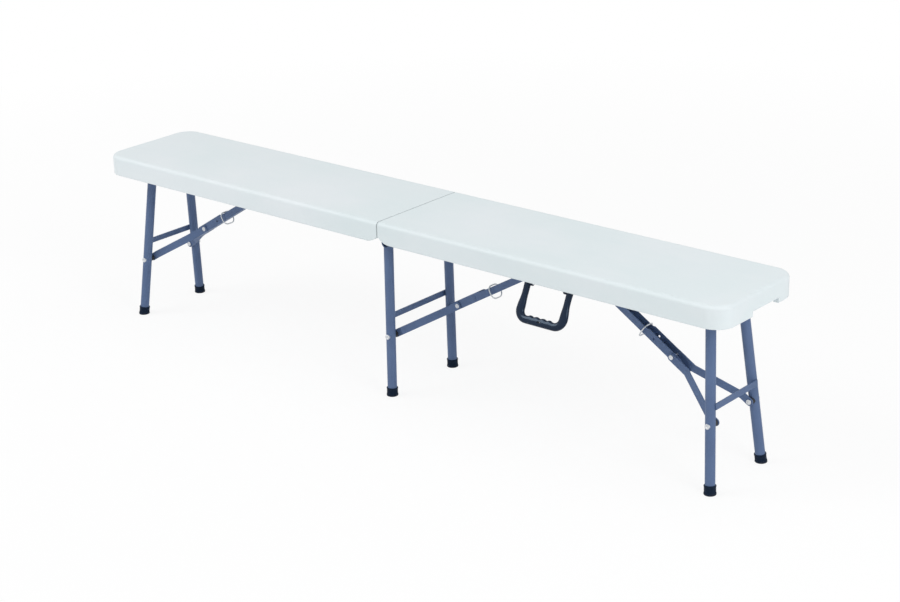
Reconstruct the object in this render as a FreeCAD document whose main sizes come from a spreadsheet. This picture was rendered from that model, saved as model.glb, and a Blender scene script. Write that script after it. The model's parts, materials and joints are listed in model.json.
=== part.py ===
import FreeCAD, Part
import os
from math import atan2, cos, degrees, hypot, sin, sqrt
from types import SimpleNamespace

import Sketcher
from FreeCAD import Placement, Rotation, Vector

# Folding bench: a seat in two halves that closes like a suitcase, two end frames and a middle
# frame of splayed tube legs, each held open by a folding brace, and a carrying handle.
# Millimetres. +Z is up, X runs along the seat with the seam at 0, and the front is at -Y.

DRIVING = {
    # Seat halves
    "seat_length": 1830.0,
    "seat_width": 280.0,
    "seat_height": 430.0,
    "rim_depth": 50.0,
    "rim_wall": 14.0,
    "seat_skin": 19.0,
    "corner_radius": 45.0,
    "inner_corner_radius": 8.0,
    "top_rounding": 9.0,
    "rim_rounding": 3.0,
    "seam_gap": 1.0,
    "seam_reach": 37.0,
    "seam_rise": 17.0,
    "notch_front": 28.0,
    "notch_rear": 69.0,
    "notch_height": 12.0,
    # Centre hinge
    "axis_drop": 7.0,
    "eye_wall": 6.0,
    "eye_inset": 1.0,
    "hinge_plate": 6.0,
    "hinge_start": 4.0,
    "hinge_neck_half": 10.0,
    "hinge_rim_gap": 1.5,
    "hinge_knee_x": 30.0,
    "hinge_knee_drop": 4.0,
    "hinge_tip": 7.0,
    "hinge_reach": 62.0,
    "hinge_plate_margin": 67.5,
    "hinge_plate_spacing": 20.0,
    "flange_half": 14.0,
    "flange_thick": 3.0,
    "hinge_screw_x": 38.0,
    "hinge_screw_y": 9.0,
    # Tubes of the frames
    "tube_diameter": 22.0,
    "tube_wall": 1.5,
    "floor_gap": 4.0,
    "end_pivot_inset": 81.5,
    "end_foot_inset": 48.0,
    "end_top_margin": 82.7,
    "end_foot_margin": 42.0,
    "end_tube_margin": 40.0,
    "middle_top_margin": 37.7,
    "middle_foot_margin": 31.9,
    # Foot caps
    "cap_wall": 2.0,
    "cap_flare": 0.6,
    "cap_height": 20.0,
    "cap_floor": 6.0,
    # Flat crossbars
    "bar_height": 187.0,
    "bar_width": 14.0,
    "bar_thick": 3.0,
    # Braces
    "rivet_height": 147.0,
    "anchor_inset": 460.0,
    "middle_anchor_inset": 529.3,
    "anchor_drop": 15.0,
    "strap_width": 18.0,
    "strap_thick": 3.0,
    "strap_straight": 45.0,
    "strap_foot": 20.0,
    "channel_width": 22.0,
    "channel_wall": 1.5,
    "channel_bottom": 9.0,
    "channel_knee_top": 11.0,
    "channel_neck_top": 8.0,
    "channel_seat_top": 6.0,
    "channel_wide_reach": 74.0,
    "channel_step": 6.0,
    "channel_tail": 45.0,
    "channel_tail_straight": 20.0,
    "channel_head": 8.0,
    "blend_slack": 0.1,
    "lock_hole_reach": 55.0,
    "lock_hole_diameter": 5.0,
    # Rivets of the braces
    "pin_diameter": 6.0,
    "rivet_head_diameter": 12.0,
    "rivet_head_thick": 2.2,
    "rivet_head_sink": 0.6,
    "rivet_crown": 0.8,
    "knee_head_diameter": 11.0,
    "knee_head_thick": 1.6,
    "anchor_head_diameter": 10.0,
    "spacer_diameter": 16.0,
    "spacer_thick": 6.0,
    "side_gap": 0.3,
    "pin_clearance": 0.05,
    # Lock rings
    "ring_wire": 3.0,
    "ring_height": 34.0,
    "ring_corner": 12.0,
    "ring_side_gap": 0.3,
    "end_ring_place": 85.0,
    "middle_ring_place": 115.0,
    # Brackets of the struts
    "anchor_plate": 2.0,
    "anchor_ear": 2.5,
    "anchor_ear_reach": 9.0,
    "anchor_ear_drop": 10.0,
    "anchor_ear_corner": 6.3,
    "anchor_plate_margin": 20.0,
    "anchor_plate_half": 32.0,
    "anchor_screw_margin": 12.0,
    "anchor_screw_y": 23.0,
    # Saddle clamps of the end frames
    "clamp_end_margin": 12.0,
    "clamp_width": 18.0,
    "clamp_flange": 6.0,
    "clamp_neck_wall": 1.0,
    "clamp_screw_offset": 7.5,
    "clamp_screw_margin": 5.5,
    "clamp_floor_gap": 0.2,
    "bearing_clearance": 0.075,
    # Screws
    "screw_diameter": 4.0,
    "screw_head_diameter": 8.0,
    "screw_head_thick": 2.4,
    "screw_crown": 0.72,
    "screw_bite": 9.0,
    # Carrying handle
    "handle_x": 468.5,
    "handle_margin": 22.0,
    "handle_tilt": 25.7,
    "handle_half": 63.5,
    "handle_waist": 61.5,
    "handle_waist_drop": 36.0,
    "handle_bulge": 67.0,
    "handle_bulge_drop": 60.0,
    "handle_drop": 87.5,
    "handle_arm": 15.5,
    "handle_thick": 12.0,
    "handle_grip": 18.5,
    "handle_corner": 24.0,
    "handle_inner_corner": 11.0,
    "handle_draw": 3.0,
    "ridge_radius": 8.0,
    "ridge_rise": 2.8,
    "ridge_pitch": 17.0,
    "slot_length": 9.0,
    "slot_height": 3.5,
    "slot_drop": 10.2,
    "lug_thick": 6.0,
    "lug_half": 6.5,
    "lug_gap": 0.4,
    "handle_pin_diameter": 5.0,
    "handle_pin_head": 9.0,
    "handle_pin_head_thick": 1.5,
    "handle_screw_x": 25.0,
    "handle_strip": 3.0,
}
RIDGES = 4
OVERCUT = 1.0  # how far a cutting solid reaches past what it cuts

doc = FreeCAD.newDocument("FoldingBench")
sheet = doc.addObject("Spreadsheet::Sheet", "Sizes")


class Size:
    """A number together with the words of the sheet that it comes from."""

    def __init__(self, number, words):
        self.number = float(number)
        self.words = words

    def joined(self, other, sign, swapped=False):
        other = as_size(other)
        first, last = (other, self) if swapped else (self, other)
        a, b = first.number, last.number
        number = {"+": a + b, "-": a - b, "*": a * b}[sign] if sign != "/" else a / b
        return Size(number, f"({first.words} {sign} {last.words})")

    def __add__(self, other):
        return self.joined(other, "+")

    def __radd__(self, other):
        return self.joined(other, "+", True)

    def __sub__(self, other):
        return self.joined(other, "-")

    def __rsub__(self, other):
        return self.joined(other, "-", True)

    def __mul__(self, other):
        return self.joined(other, "*")

    def __rmul__(self, other):
        return self.joined(other, "*", True)

    def __truediv__(self, other):
        return self.joined(other, "/")

    def __neg__(self):
        return self.joined(-1, "*")

    def __float__(self):
        return self.number


def as_size(value):
    """A plain number as a Size, and a Size as it is."""
    if isinstance(value, Size):
        return value
    return Size(value, repr(float(value)))


mm = SimpleNamespace()
rows = []


def keep(name, number):
    """Write a named number into the sheet and give its Size."""
    rows.append(name)
    row = len(rows)
    sheet.set(f"A{row}", name)
    sheet.set(f"B{row}", repr(float(number)))
    sheet.setAlias(f"B{row}", name)
    named = Size(number, f"Sizes.{name}")
    setattr(mm, name, named)
    return named


for size_name, size_value in DRIVING.items():
    keep(size_name, size_value)

# Levels and places that follow from the driving sizes

half_width = mm.seat_width / 2
half_length = mm.seat_length / 2
rim_level = mm.seat_height - mm.rim_depth
floor_level = mm.seat_height - mm.seat_skin
axis_level = rim_level - mm.axis_drop
end_pivot_x = half_length - mm.end_pivot_inset
end_pivot_z = floor_level - mm.floor_gap - mm.tube_diameter / 2
anchor_x = half_length - mm.anchor_inset
anchor_z = floor_level - mm.anchor_drop
middle_anchor_x = half_length - mm.middle_anchor_inset
pin_radius = mm.pin_diameter / 2
pin_bore = pin_radius + mm.pin_clearance
tube_radius = mm.tube_diameter / 2
tube_bore = tube_radius + mm.bearing_clearance
strap_inner = mm.channel_width / 2 + mm.side_gap
eye_radius = tube_radius + mm.eye_wall
left_plate_y = half_width - mm.hinge_plate_margin
right_plate_y = left_plate_y - mm.hinge_plate_spacing
end_tube_half = half_width - mm.end_tube_margin
clamp_y = end_tube_half - mm.clamp_end_margin
clamp_neck_half = tube_radius + mm.clamp_neck_wall
clamp_screw_x = tube_radius + mm.clamp_screw_offset
clamp_half = clamp_screw_x + mm.clamp_screw_margin
handle_y = mm.handle_margin - half_width


# Making and binding objects

def bind(item, **sizes):
    """Tie properties of an object to the sheet; two underscores stand for a dot."""
    for name, value in sizes.items():
        item.setExpression(name.replace("__", "."), as_size(value).words)
    return item


def put(item, x=0, y=0, z=0, turn=None):
    """Place an object at a bound point, turned by a rotation."""
    item.Placement = Placement(Vector(float(x), float(y), float(z)), turn or Rotation())
    return bind(item, Placement__Base__x=x, Placement__Base__y=y, Placement__Base__z=z)


def box(low, high):
    """A box between two corners."""
    item = doc.addObject("Part::Box", "Block")
    length, width, height = [high[i] - low[i] for i in range(3)]
    bind(item, Length=length, Width=width, Height=height)
    return put(item, *low)


ALONG_X = Rotation(Vector(0, 1, 0), 90)
ALONG_Y = Rotation(Vector(1, 0, 0), -90)
ALONG_Z = Rotation()
FACING_DOWN = Rotation(Vector(1, 0, 0), 180)


def rod(radius, start, length, turn=ALONG_Z):
    """A cylinder from a start point along the turned Z axis."""
    item = doc.addObject("Part::Cylinder", "Rod")
    bind(item, Radius=radius, Height=length)
    return put(item, *start, turn=turn)


def cone(low_radius, high_radius, start, length, turn=ALONG_Z):
    """A cone frustum from a start point along the turned Z axis."""
    item = doc.addObject("Part::Cone", "Taper")
    bind(item, Radius1=low_radius, Radius2=high_radius, Height=length)
    return put(item, *start, turn=turn)


def group(items):
    """Several solids as one object."""
    item = doc.addObject("Part::Compound", "Group")
    item.Links = items
    return item


def fuse(*items):
    """Solids joined into one."""
    item = doc.addObject("Part::MultiFuse", "Joined")
    item.Shapes = list(items)
    return item


def cut(base, *tools):
    """One solid with others taken away from it."""
    item = doc.addObject("Part::Cut", "Cutout")
    item.Base = base
    item.Tool = tools[0] if len(tools) == 1 else group(list(tools))
    return item


def plane_of(body, plane):
    """One of a body's own origin planes."""
    return next(face for face in body.Origin.OriginFeatures if face.Role == plane)


def sketch_on(body, plane, shift=0):
    """An empty sketch on one of the body's origin planes."""
    sketch = body.newObject("Sketcher::SketchObject", "Outline")
    sketch.AttachmentSupport = [(plane_of(body, plane), "")]
    sketch.MapMode = "FlatFace"
    return bind(sketch, AttachmentOffset__Base__z=shift)


def pin_point(sketch, edge, end, x, y):
    """Tie one end of a sketch edge to bound distances from the origin."""
    for kind, place in (("DistanceX", x), ("DistanceY", y)):
        rule = Sketcher.Constraint(kind, -1, 1, edge, end, float(place))
        number = sketch.addConstraint(rule)
        sketch.setExpression(f"Constraints[{number}]", as_size(place).words)


def polygon(body, plane, points, shift=0):
    """A closed outline of straight edges, each corner bound to the sheet."""
    sketch = sketch_on(body, plane, shift)
    spots = [Vector(float(x), float(y), 0) for x, y in points]
    for first, last in zip(spots, spots[1:] + spots[:1]):
        sketch.addGeometry(Part.LineSegment(first, last))
    for edge in range(len(spots)):
        sketch.addConstraint(Sketcher.Constraint("Coincident", edge, 2, (edge + 1) % len(spots), 1))
    for edge, (x, y) in enumerate(points):
        pin_point(sketch, edge, 1, x, y)
    return sketch


def rectangle(body, plane, low, high, shift=0):
    """A rectangular outline between two corners."""
    (x0, y0), (x1, y1) = low, high
    return polygon(body, plane, [(x0, y0), (x1, y0), (x1, y1), (x0, y1)], shift)


def circles(body, plane, spots, radius, shift=0):
    """Equal circles round bound centres."""
    sketch = sketch_on(body, plane, shift)
    for edge, (x, y) in enumerate(spots):
        sketch.addGeometry(Part.Circle(Vector(float(x), float(y), 0), Vector(0, 0, 1), float(radius)))
        pin_point(sketch, edge, 3, x, y)
        number = sketch.addConstraint(Sketcher.Constraint("Radius", edge, float(radius)))
        sketch.setExpression(f"Constraints[{number}]", as_size(radius).words)
    return sketch


def new_body(name="Body"):
    """An empty body."""
    return doc.addObject("PartDesign::Body", name)


def pad(body, sketch, length, sides="One side"):
    """Add the sketch's outline, extruded."""
    feature = body.newObject("PartDesign::Pad", "Pad")
    feature.Profile = sketch
    feature.SideType = sides
    return bind(feature, Length=length)


def pocket(body, sketch, depth, upward=True):
    """Take away the sketch's outline along its normal, or against it."""
    doc.recompute()
    before = body.Shape.Volume
    feature = body.newObject("PartDesign::Pocket", "Pocket")
    feature.Profile = sketch
    feature.Reversed = upward
    bind(feature, Length=depth)
    doc.recompute()
    if feature.Shape.Volume > before - 1:
        raise ValueError(f"a pocket of {body.Name} cuts nothing")
    return feature


def drill(body, plane, spots, radius):
    """Round holes right through the body, both ways from the plane."""
    feature = body.newObject("PartDesign::Pocket", "Bore")
    feature.Profile = circles(body, plane, spots, radius)
    feature.Type = "ThroughAll"
    feature.SideType = "Symmetric"
    return feature


def round_edges(body, radius, chosen):
    """Fillet the edges of the body that the test picks, by their midpoint and direction."""
    doc.recompute()
    base = body.Tip
    names = []
    for number, edge in enumerate(base.Shape.Edges, 1):
        middle = edge.valueAt((edge.FirstParameter + edge.LastParameter) / 2)
        way = edge.tangentAt((edge.FirstParameter + edge.LastParameter) / 2)
        if chosen(middle, way, edge):
            names.append(f"Edge{number}")
    feature = body.newObject("PartDesign::Fillet", "Rounding")
    feature.Base = (base, names)
    return bind(feature, Radius=radius)


def near(a, b):
    """Whether two places are the same to a hundredth."""
    return abs(float(a) - float(b)) < 0.01


pieces = []


def finish(item, label, placement=None):
    """Name a finished sub-part and put it in its place."""
    if placement is not None:
        if any(path.lstrip(".").startswith("Placement") for path, _ in item.ExpressionEngine):
            item = group([item])
        item.Placement = placement
    item.Label = label
    pieces.append(item)
    return item


def half_turn(yaw):
    """The placement of everything that belongs to one side of the seam."""
    return Placement(Vector(), Rotation(Vector(0, 0, 1), yaw))


# Screws into the seat's floor: a shank upwards and a domed head below

def screw(x, y, level, grip):
    """A screw whose head bears on a plate at the given level."""
    shank = rod(mm.screw_diameter / 2, (x, y, level), grip + mm.screw_bite)
    head_radius = mm.screw_head_diameter / 2
    head_start = (x, y, level - mm.screw_head_thick)
    head = cone(head_radius * mm.screw_crown, head_radius, head_start, mm.screw_head_thick)
    return fuse(head, shank)


def screws(label, spots, level, grip, yaw):
    """All screws of one plate, as separate solids."""
    finish(group([screw(x, y, level, grip) for x, y in spots]), label, half_turn(yaw))


# Places of the screws, for the right side of the seam; the left side is the same, turned round

hinge_spots = {
    half: [(mm.hinge_screw_x, side * plate_y + step * mm.hinge_screw_y)
           for side in (-1, 1) for step in (-1, 1)]
    for half, plate_y in (("right", right_plate_y), ("left", left_plate_y))
}
anchors = {
    "right": [(anchor_x, anchor_z), (middle_anchor_x, axis_level)],
    "left": [(anchor_x, anchor_z)],
}
anchor_spots = {
    half: [(x + step * mm.anchor_screw_margin, side * mm.anchor_screw_y)
           for x, _ in anchors[half] for side in (-1, 1) for step in (-1, 1)]
    for half in ("right", "left")
}
clamp_spots = [(end_pivot_x + step * clamp_screw_x, side * clamp_y)
               for side in (-1, 1) for step in (-1, 1)]
handle_spots = [(mm.handle_x + step * mm.handle_screw_x, handle_y) for step in (-1, 1)]
YAW = {"right": 0, "left": 180, "middle": 180}


# Seat halves

seam_radius = keep("seam_radius", (mm.seam_reach.number ** 2 + mm.seam_rise.number ** 2)
                   / (2 * mm.seam_rise.number))


def edge_is_outer(at):
    """Whether a point of the rim's lower face lies on its outer outline."""
    end_x = float(half_length)
    side_y = float(half_width)
    corner = float(mm.corner_radius)
    if near(abs(at.x), end_x) or near(abs(at.y), side_y):
        return True
    reach = hypot(abs(at.x) - (end_x - corner), abs(at.y) - (side_y - corner))
    return abs(at.x) > end_x - corner and near(reach, corner)


def seat_half(half):
    """A shallow tray, open below, with the seam's corner rounded and a notch in its end rim."""
    side = 1 if half == "right" else -1
    seam = side * (mm.seam_gap / 2)
    end = side * half_length
    wall = side * mm.rim_wall
    body = new_body("SeatBody")
    pad(body, rectangle(body, "XY_Plane", (seam, -half_width), (end, half_width), rim_level),
        mm.rim_depth)
    round_edges(body, mm.corner_radius,
                lambda at, way, edge: abs(way.z) > 0.9 and near(at.x, end))
    recess = rectangle(body, "XY_Plane", (seam + wall, mm.rim_wall - half_width),
                       (end - wall, half_width - mm.rim_wall), rim_level)
    pocket(body, recess, mm.rim_depth - mm.seat_skin)
    inside_y = half_width - mm.rim_wall
    round_edges(body, mm.corner_radius - mm.rim_wall,
                lambda at, way, edge: abs(way.z) > 0.9 and near(at.x, end - wall)
                and near(abs(at.y), inside_y))
    round_edges(body, mm.inner_corner_radius,
                lambda at, way, edge: abs(way.z) > 0.9 and near(at.x, seam + wall)
                and near(abs(at.y), inside_y))
    round_edges(body, mm.top_rounding,
                lambda at, way, edge: near(at.z, mm.seat_height) and not near(at.x, seam))
    round_edges(body, mm.rim_rounding,
                lambda at, way, edge: near(at.z, rim_level) and not near(at.x, seam)
                and edge_is_outer(at))

    x_low, x_high = sorted((as_size(0), side * mm.seam_reach), key=float)
    block = box((x_low, -half_width - OVERCUT, rim_level - OVERCUT),
                (x_high, half_width + OVERCUT, rim_level + mm.seam_rise + OVERCUT))
    drum_start = (side * mm.seam_reach, -half_width - 2 * OVERCUT, rim_level + seam_radius)
    drum = rod(seam_radius, drum_start, mm.seat_width + 4 * OVERCUT, ALONG_Y)
    corner = cut(block, drum)
    x_low, x_high = sorted((end - wall - side * OVERCUT, end + side * OVERCUT), key=float)
    notch = box((x_low, -mm.notch_front, rim_level - OVERCUT),
                (x_high, mm.notch_rear, rim_level + mm.notch_height))
    spots = hinge_spots[half] + anchor_spots[half] + clamp_spots
    spots = spots + (handle_spots if half == "right" else [])
    pilots = [rod(mm.screw_diameter / 2, (side * x, y, floor_level), mm.screw_bite)
              for x, y in spots]
    finish(cut(body, corner, notch, *pilots), f"seat_{half}")


for half_name in ("right", "left"):
    seat_half(half_name)


# Frames: what follows from the sizes for each of the three

def frame_sizes(name, pivot, foot_x, top_margin, foot_margin, anchor, ring_place):
    """Angles, drops and lengths of one frame and its brace, written into the sheet."""
    pivot_x, pivot_z = float(pivot[0]), float(pivot[1])
    top = float(half_width - top_margin)
    foot = float(half_width - foot_margin)
    rake = atan2(float(foot_x) - pivot_x, pivot_z)
    fall = pivot_z / cos(rake)
    splay = atan2(foot - top, fall)
    rivet_fall = (pivot_z - float(mm.rivet_height)) / cos(rake)
    bar_fall = (pivot_z - float(mm.bar_height)) / cos(rake)
    rivet = (pivot_x + rivet_fall * sin(rake), float(mm.rivet_height))
    folded = (pivot_x - rivet_fall, pivot_z)
    ax, az = float(anchor[0]), float(anchor[1])
    open_span = hypot(rivet[0] - ax, rivet[1] - az)
    closed_span = hypot(folded[0] - ax, folded[1] - az)
    rivet_spread = top + (foot - top) * rivet_fall / fall
    numbers = {
        "top": top,
        "foot": foot,
        "rake": degrees(rake),
        "fall": fall,
        "splay": degrees(splay),
        "lean": sin(splay),
        "rise": cos(splay),
        "leg_length": fall / cos(splay),
        "rivet_fall": rivet_fall,
        "rivet_spread": rivet_spread,
        "bar_fall": bar_fall,
        "bar_spread": top + (foot - top) * bar_fall / fall,
        "strap_outer": rivet_spread - tube_radius.number / cos(splay)
        - mm.spacer_thick.number - mm.side_gap.number,
        "span": open_span,
        "strap_length": (open_span - closed_span) / 2,
        "strut_length": (open_span + closed_span) / 2,
        "brace_angle": degrees(atan2(az - rivet[1], rivet[0] - ax)),
    }
    sizes = {key: keep(f"{name}_{key}", number) for key, number in numbers.items()}
    turn = half_turn(YAW[name])
    leg_place = Placement(Vector(pivot_x, 0, pivot_z), Rotation(Vector(0, 1, 0), -degrees(rake)))
    brace_place = Placement(Vector(ax, 0, az), Rotation(Vector(0, 1, 0), numbers["brace_angle"]))
    return SimpleNamespace(
        name=name, legs_at=turn.multiply(leg_place), brace_at=turn.multiply(brace_place),
        sides={"front": -1, "rear": 1} if YAW[name] == 0 else {"front": 1, "rear": -1},
        ring_place=ring_place, **sizes)


end_foot_x = half_length - mm.end_foot_inset
frames = [
    frame_sizes(name, (end_pivot_x, end_pivot_z), end_foot_x, mm.end_top_margin,
                mm.end_foot_margin, (anchor_x, anchor_z), mm.end_ring_place)
    for name in ("right", "left")
]
frames.append(frame_sizes("middle", (0, axis_level), 0, mm.middle_top_margin,
                          mm.middle_foot_margin, (-middle_anchor_x, axis_level),
                          mm.middle_ring_place))


# Legs: splayed tubes, coped and welded to the tube that they turn on

def leg_turn(frame, side):
    """The turn of the upright axis onto a leg, from its foot to its top."""
    return Rotation(Vector(1, 0, 0), side * float(frame.splay))


def leg_point(frame, side, distance):
    """A point on a leg's centre line, so far up from the ground."""
    return (0, side * (frame.foot - frame.lean * distance), frame.rise * distance - frame.fall)


def leg_core(frame, side, radius, start=0):
    """A solid rod on a leg's centre line, from a distance above the ground up to the pivot."""
    return rod(radius, leg_point(frame, side, start), frame.leg_length - start,
               leg_turn(frame, side))


def outward(side):
    """The turn of the upright axis to the given side."""
    return Rotation(Vector(1, 0, 0), -90 * side)


def rivet_hole(frame, side):
    """The hole across a leg for the strap's rivet."""
    start = (0, side * (frame.rivet_spread - tube_radius * 2), -frame.rivet_fall)
    return rod(pin_radius, start, tube_radius * 4, outward(side))


def legs(frame, tube_half):
    """Two legs, the tube they hang from, the crossbar and the foot caps."""
    for place, side in frame.sides.items():
        wall = cut(leg_core(frame, side, tube_radius, mm.cap_floor),
                   leg_core(frame, side, tube_radius - mm.tube_wall, 0))
        pivot = rod(tube_radius, (0, -half_width, 0), mm.seat_width, ALONG_Y)
        finish(cut(wall, pivot, rivet_hole(frame, side)), f"{frame.name}_{place}_leg", frame.legs_at)
    pivot_name = "centre_axle" if frame.name == "middle" else f"{frame.name}_pivot_tube"
    outer = rod(tube_radius, (0, -tube_half, 0), tube_half * 2, ALONG_Y)
    inner = rod(tube_radius - mm.tube_wall, (0, -tube_half - OVERCUT, 0),
                (tube_half + OVERCUT) * 2, ALONG_Y)
    finish(cut(outer, inner), pivot_name, frame.legs_at)
    half_bar = mm.bar_width / 2
    bar = box((tube_radius, -frame.bar_spread, -frame.bar_fall - half_bar),
              (tube_radius + mm.bar_thick, frame.bar_spread, half_bar - frame.bar_fall))
    finish(bar, f"{frame.name}_crossbar", frame.legs_at)
    finish(group([foot_cap(frame, side) for side in frame.sides.values()]),
           f"{frame.name}_foot_caps", frame.legs_at)


def foot_cap(frame, side):
    """A flared cap over a tube's end, cut flat where it stands on the ground."""
    cap_radius = tube_radius + mm.cap_wall
    start = leg_point(frame, side, -mm.cap_floor)
    shell = cone(cap_radius + mm.cap_flare, cap_radius, start, mm.cap_height + mm.cap_floor,
                 leg_turn(frame, side))
    tilt = Rotation(Vector(0, 1, 0), float(frame.rake))
    ground = rod(mm.seat_width, (0, 0, -frame.fall), mm.cap_height, tilt.multiply(FACING_DOWN))
    return cut(shell, leg_core(frame, side, tube_radius, mm.cap_floor), ground)


# Rivets and spacers where the straps hang on the legs

def leg_rivets(frame):
    """A headed rivet through each leg, its spacer disc and its strap, and the spacer itself."""
    rivets = []
    spacers = []
    inner_face = frame.strap_outer - mm.strap_thick - mm.side_gap
    outer_face = frame.rivet_spread + tube_radius - mm.rivet_head_sink
    for side in frame.sides.values():
        turn = outward(side)
        start = (0, side * inner_face, -frame.rivet_fall)
        shank = rod(pin_radius, start, outer_face - inner_face + mm.rivet_head_thick / 2, turn)
        head_radius = mm.rivet_head_diameter / 2
        inside = rod(head_radius, (0, side * (inner_face - mm.rivet_head_thick), -frame.rivet_fall),
                     mm.rivet_head_thick, turn)
        outside = cone(head_radius, head_radius * mm.rivet_crown,
                       (0, side * outer_face, -frame.rivet_fall),
                       mm.rivet_head_thick + mm.rivet_head_sink, turn)
        seated = cut(outside, leg_core(frame, side, tube_radius))
        rivets.append(fuse(shank, inside, seated))
        disc_start = (0, side * (frame.strap_outer + mm.side_gap), -frame.rivet_fall)
        disc = rod(mm.spacer_diameter / 2, disc_start, mm.spacer_thick * 1.5, turn)
        bore = rod(pin_radius, start, outer_face - inner_face, turn)
        spacers.append(cut(disc, leg_core(frame, side, tube_radius), bore))
    finish(group(rivets), f"{frame.name}_leg_rivets", frame.legs_at)
    finish(group(spacers), f"{frame.name}_strap_spacers", frame.legs_at)


# Braces: two flat straps from the legs, joined at the knee to a channel strut from the seat

def strap(frame, place, side):
    """A flat strap: beside the strut at the knee, then bent outwards, then flat on its leg."""
    end_radius = mm.strap_width / 2
    knee = frame.strut_length
    inner, outer = strap_inner, strap_inner + mm.strap_thick
    far_outer = frame.strap_outer
    far_inner = frame.strap_outer - mm.strap_thick
    xs = (knee - end_radius, knee + mm.strap_straight, frame.span - mm.strap_foot,
          frame.span + end_radius)
    points = [(xs[0], side * outer), (xs[1], side * outer), (xs[2], side * far_outer),
              (xs[3], side * far_outer), (xs[3], side * far_inner), (xs[2], side * far_inner),
              (xs[1], side * inner), (xs[0], side * inner)]
    body = new_body("StrapBody")
    pad(body, polygon(body, "XY_Plane", points), mm.strap_width, "Symmetric")
    round_edges(body, end_radius - mm.blend_slack,
                lambda at, way, edge: abs(way.y) > 0.9 and (near(at.x, xs[0]) or near(at.x, xs[3])))
    drill(body, "XZ_Plane", [(knee, 0)], pin_radius)
    drill(body, "XZ_Plane", [(frame.span, 0)], pin_bore)
    finish(body, f"{frame.name}_{place}_strap", frame.brace_at)


def strut(frame):
    """A channel, open on top: deep round the knee, with a tail past it, and lower near the seat."""
    knee = frame.strut_length
    points = [
        (-mm.channel_head, -mm.channel_bottom),
        (knee + mm.channel_tail, -mm.channel_bottom),
        (knee + mm.channel_tail, -mm.channel_bottom / 2),
        (knee + mm.channel_tail_straight, mm.channel_knee_top),
        (knee - mm.channel_wide_reach, mm.channel_knee_top),
        (knee - mm.channel_wide_reach - mm.channel_step, mm.channel_neck_top),
        (-mm.channel_head, mm.channel_seat_top),
    ]
    body = new_body("StrutBody")
    pad(body, polygon(body, "XZ_Plane", points), mm.channel_width, "Symmetric")
    half_inside = mm.channel_width / 2 - mm.channel_wall
    inside = rectangle(body, "XY_Plane", (-mm.channel_head - OVERCUT, -half_inside),
                       (knee + mm.channel_tail + OVERCUT, half_inside),
                       mm.channel_wall - mm.channel_bottom)
    pocket(body, inside, mm.channel_knee_top + mm.channel_bottom)
    round_edges(body, mm.channel_wall - mm.blend_slack,
                lambda at, way, edge: near(at.z, -mm.channel_bottom) and abs(way.x) > 0.9
                and near(abs(at.y), mm.channel_width / 2))
    drill(body, "XZ_Plane", [(0, 0)], pin_bore)
    drill(body, "XZ_Plane", [(knee, 0)], pin_radius)
    drill(body, "XZ_Plane", [(knee - mm.lock_hole_reach, 0)], mm.lock_hole_diameter / 2)
    finish(body, f"{frame.name}_strut", frame.brace_at)


def knee_rivets(frame):
    """The pin that crosses the strut, and the headed plugs that cross the straps."""
    knee = frame.strut_length
    pin = rod(pin_radius, (knee, -mm.channel_width / 2, 0), mm.channel_width, ALONG_Y)
    finish(pin, f"{frame.name}_knee_pin", frame.brace_at)
    plugs = []
    outer = strap_inner + mm.strap_thick
    for side in frame.sides.values():
        turn = outward(side)
        plug = rod(pin_radius, (knee, side * strap_inner, 0), mm.strap_thick, turn)
        head_radius = mm.knee_head_diameter / 2
        head = cone(head_radius, head_radius * mm.rivet_crown, (knee, side * outer, 0),
                    mm.knee_head_thick, turn)
        plugs.append(fuse(plug, head))
    finish(group(plugs), f"{frame.name}_knee_rivets", frame.brace_at)


def lock_ring(frame):
    """A wire ring round the strut, hanging on the channel's upper edges."""
    wire = mm.ring_wire / 2
    half_wide = strap_inner + mm.strap_thick + mm.knee_head_thick + mm.ring_side_gap + wire
    corner = mm.ring_corner
    inside = float(corner - wire - mm.side_gap)
    overhang = float(mm.channel_width / 2 - half_wide + corner)
    top = keep(f"{frame.name}_ring_top", float(mm.channel_neck_top + corner)
               - sqrt(inside ** 2 - overhang ** 2))
    low = top + wire * 2 - mm.ring_height
    middle = keep(f"{frame.name}_ring_x", float(frame.strut_length - frame.ring_place))
    wide, high, deep, bend = float(half_wide), float(top), float(low), float(corner)
    slant = bend * (1 - sqrt(0.5))
    corners = [(1, 1), (-1, 1), (-1, -1), (1, -1)]
    edges = []
    for number, (across, up) in enumerate(corners):
        y_end, z_end = across * wide, high if up > 0 else deep
        on_side = Vector(0, y_end, z_end - up * bend)
        on_flat = Vector(0, y_end - across * bend, z_end)
        middle_point = Vector(0, y_end - across * slant, z_end - up * slant)
        start, end = (on_side, on_flat) if number % 2 == 0 else (on_flat, on_side)
        edges.append(Part.Arc(start, middle_point, end).toShape())
    ring_edges = []
    for number, edge in enumerate(edges):
        ring_edges.append(edge)
        following = edges[(number + 1) % 4]
        ring_edges.append(Part.makeLine(edge.Vertexes[-1].Point, following.Vertexes[0].Point))
    path = Part.Wire(ring_edges)
    profile = Part.Wire([Part.Circle(Vector(0, wide, high - bend), Vector(0, 0, 1),
                                     float(wire)).toShape()])
    item = doc.addObject("Part::Feature", "RingSolid")
    item.Shape = path.makePipeShell([profile], True, True)
    put(item, middle)
    finish(item, f"{frame.name}_lock_ring", frame.brace_at)


for bench_frame in frames:
    is_middle = bench_frame.name == "middle"
    legs(bench_frame, bench_frame.top + tube_radius if is_middle else end_tube_half)
    leg_rivets(bench_frame)
    for strap_place, strap_side in bench_frame.sides.items():
        strap(bench_frame, strap_place, strap_side)
    strut(bench_frame)
    knee_rivets(bench_frame)
    lock_ring(bench_frame)


# Saddle clamps that hold the end frames' pivot tubes under the seat's floor

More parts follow.
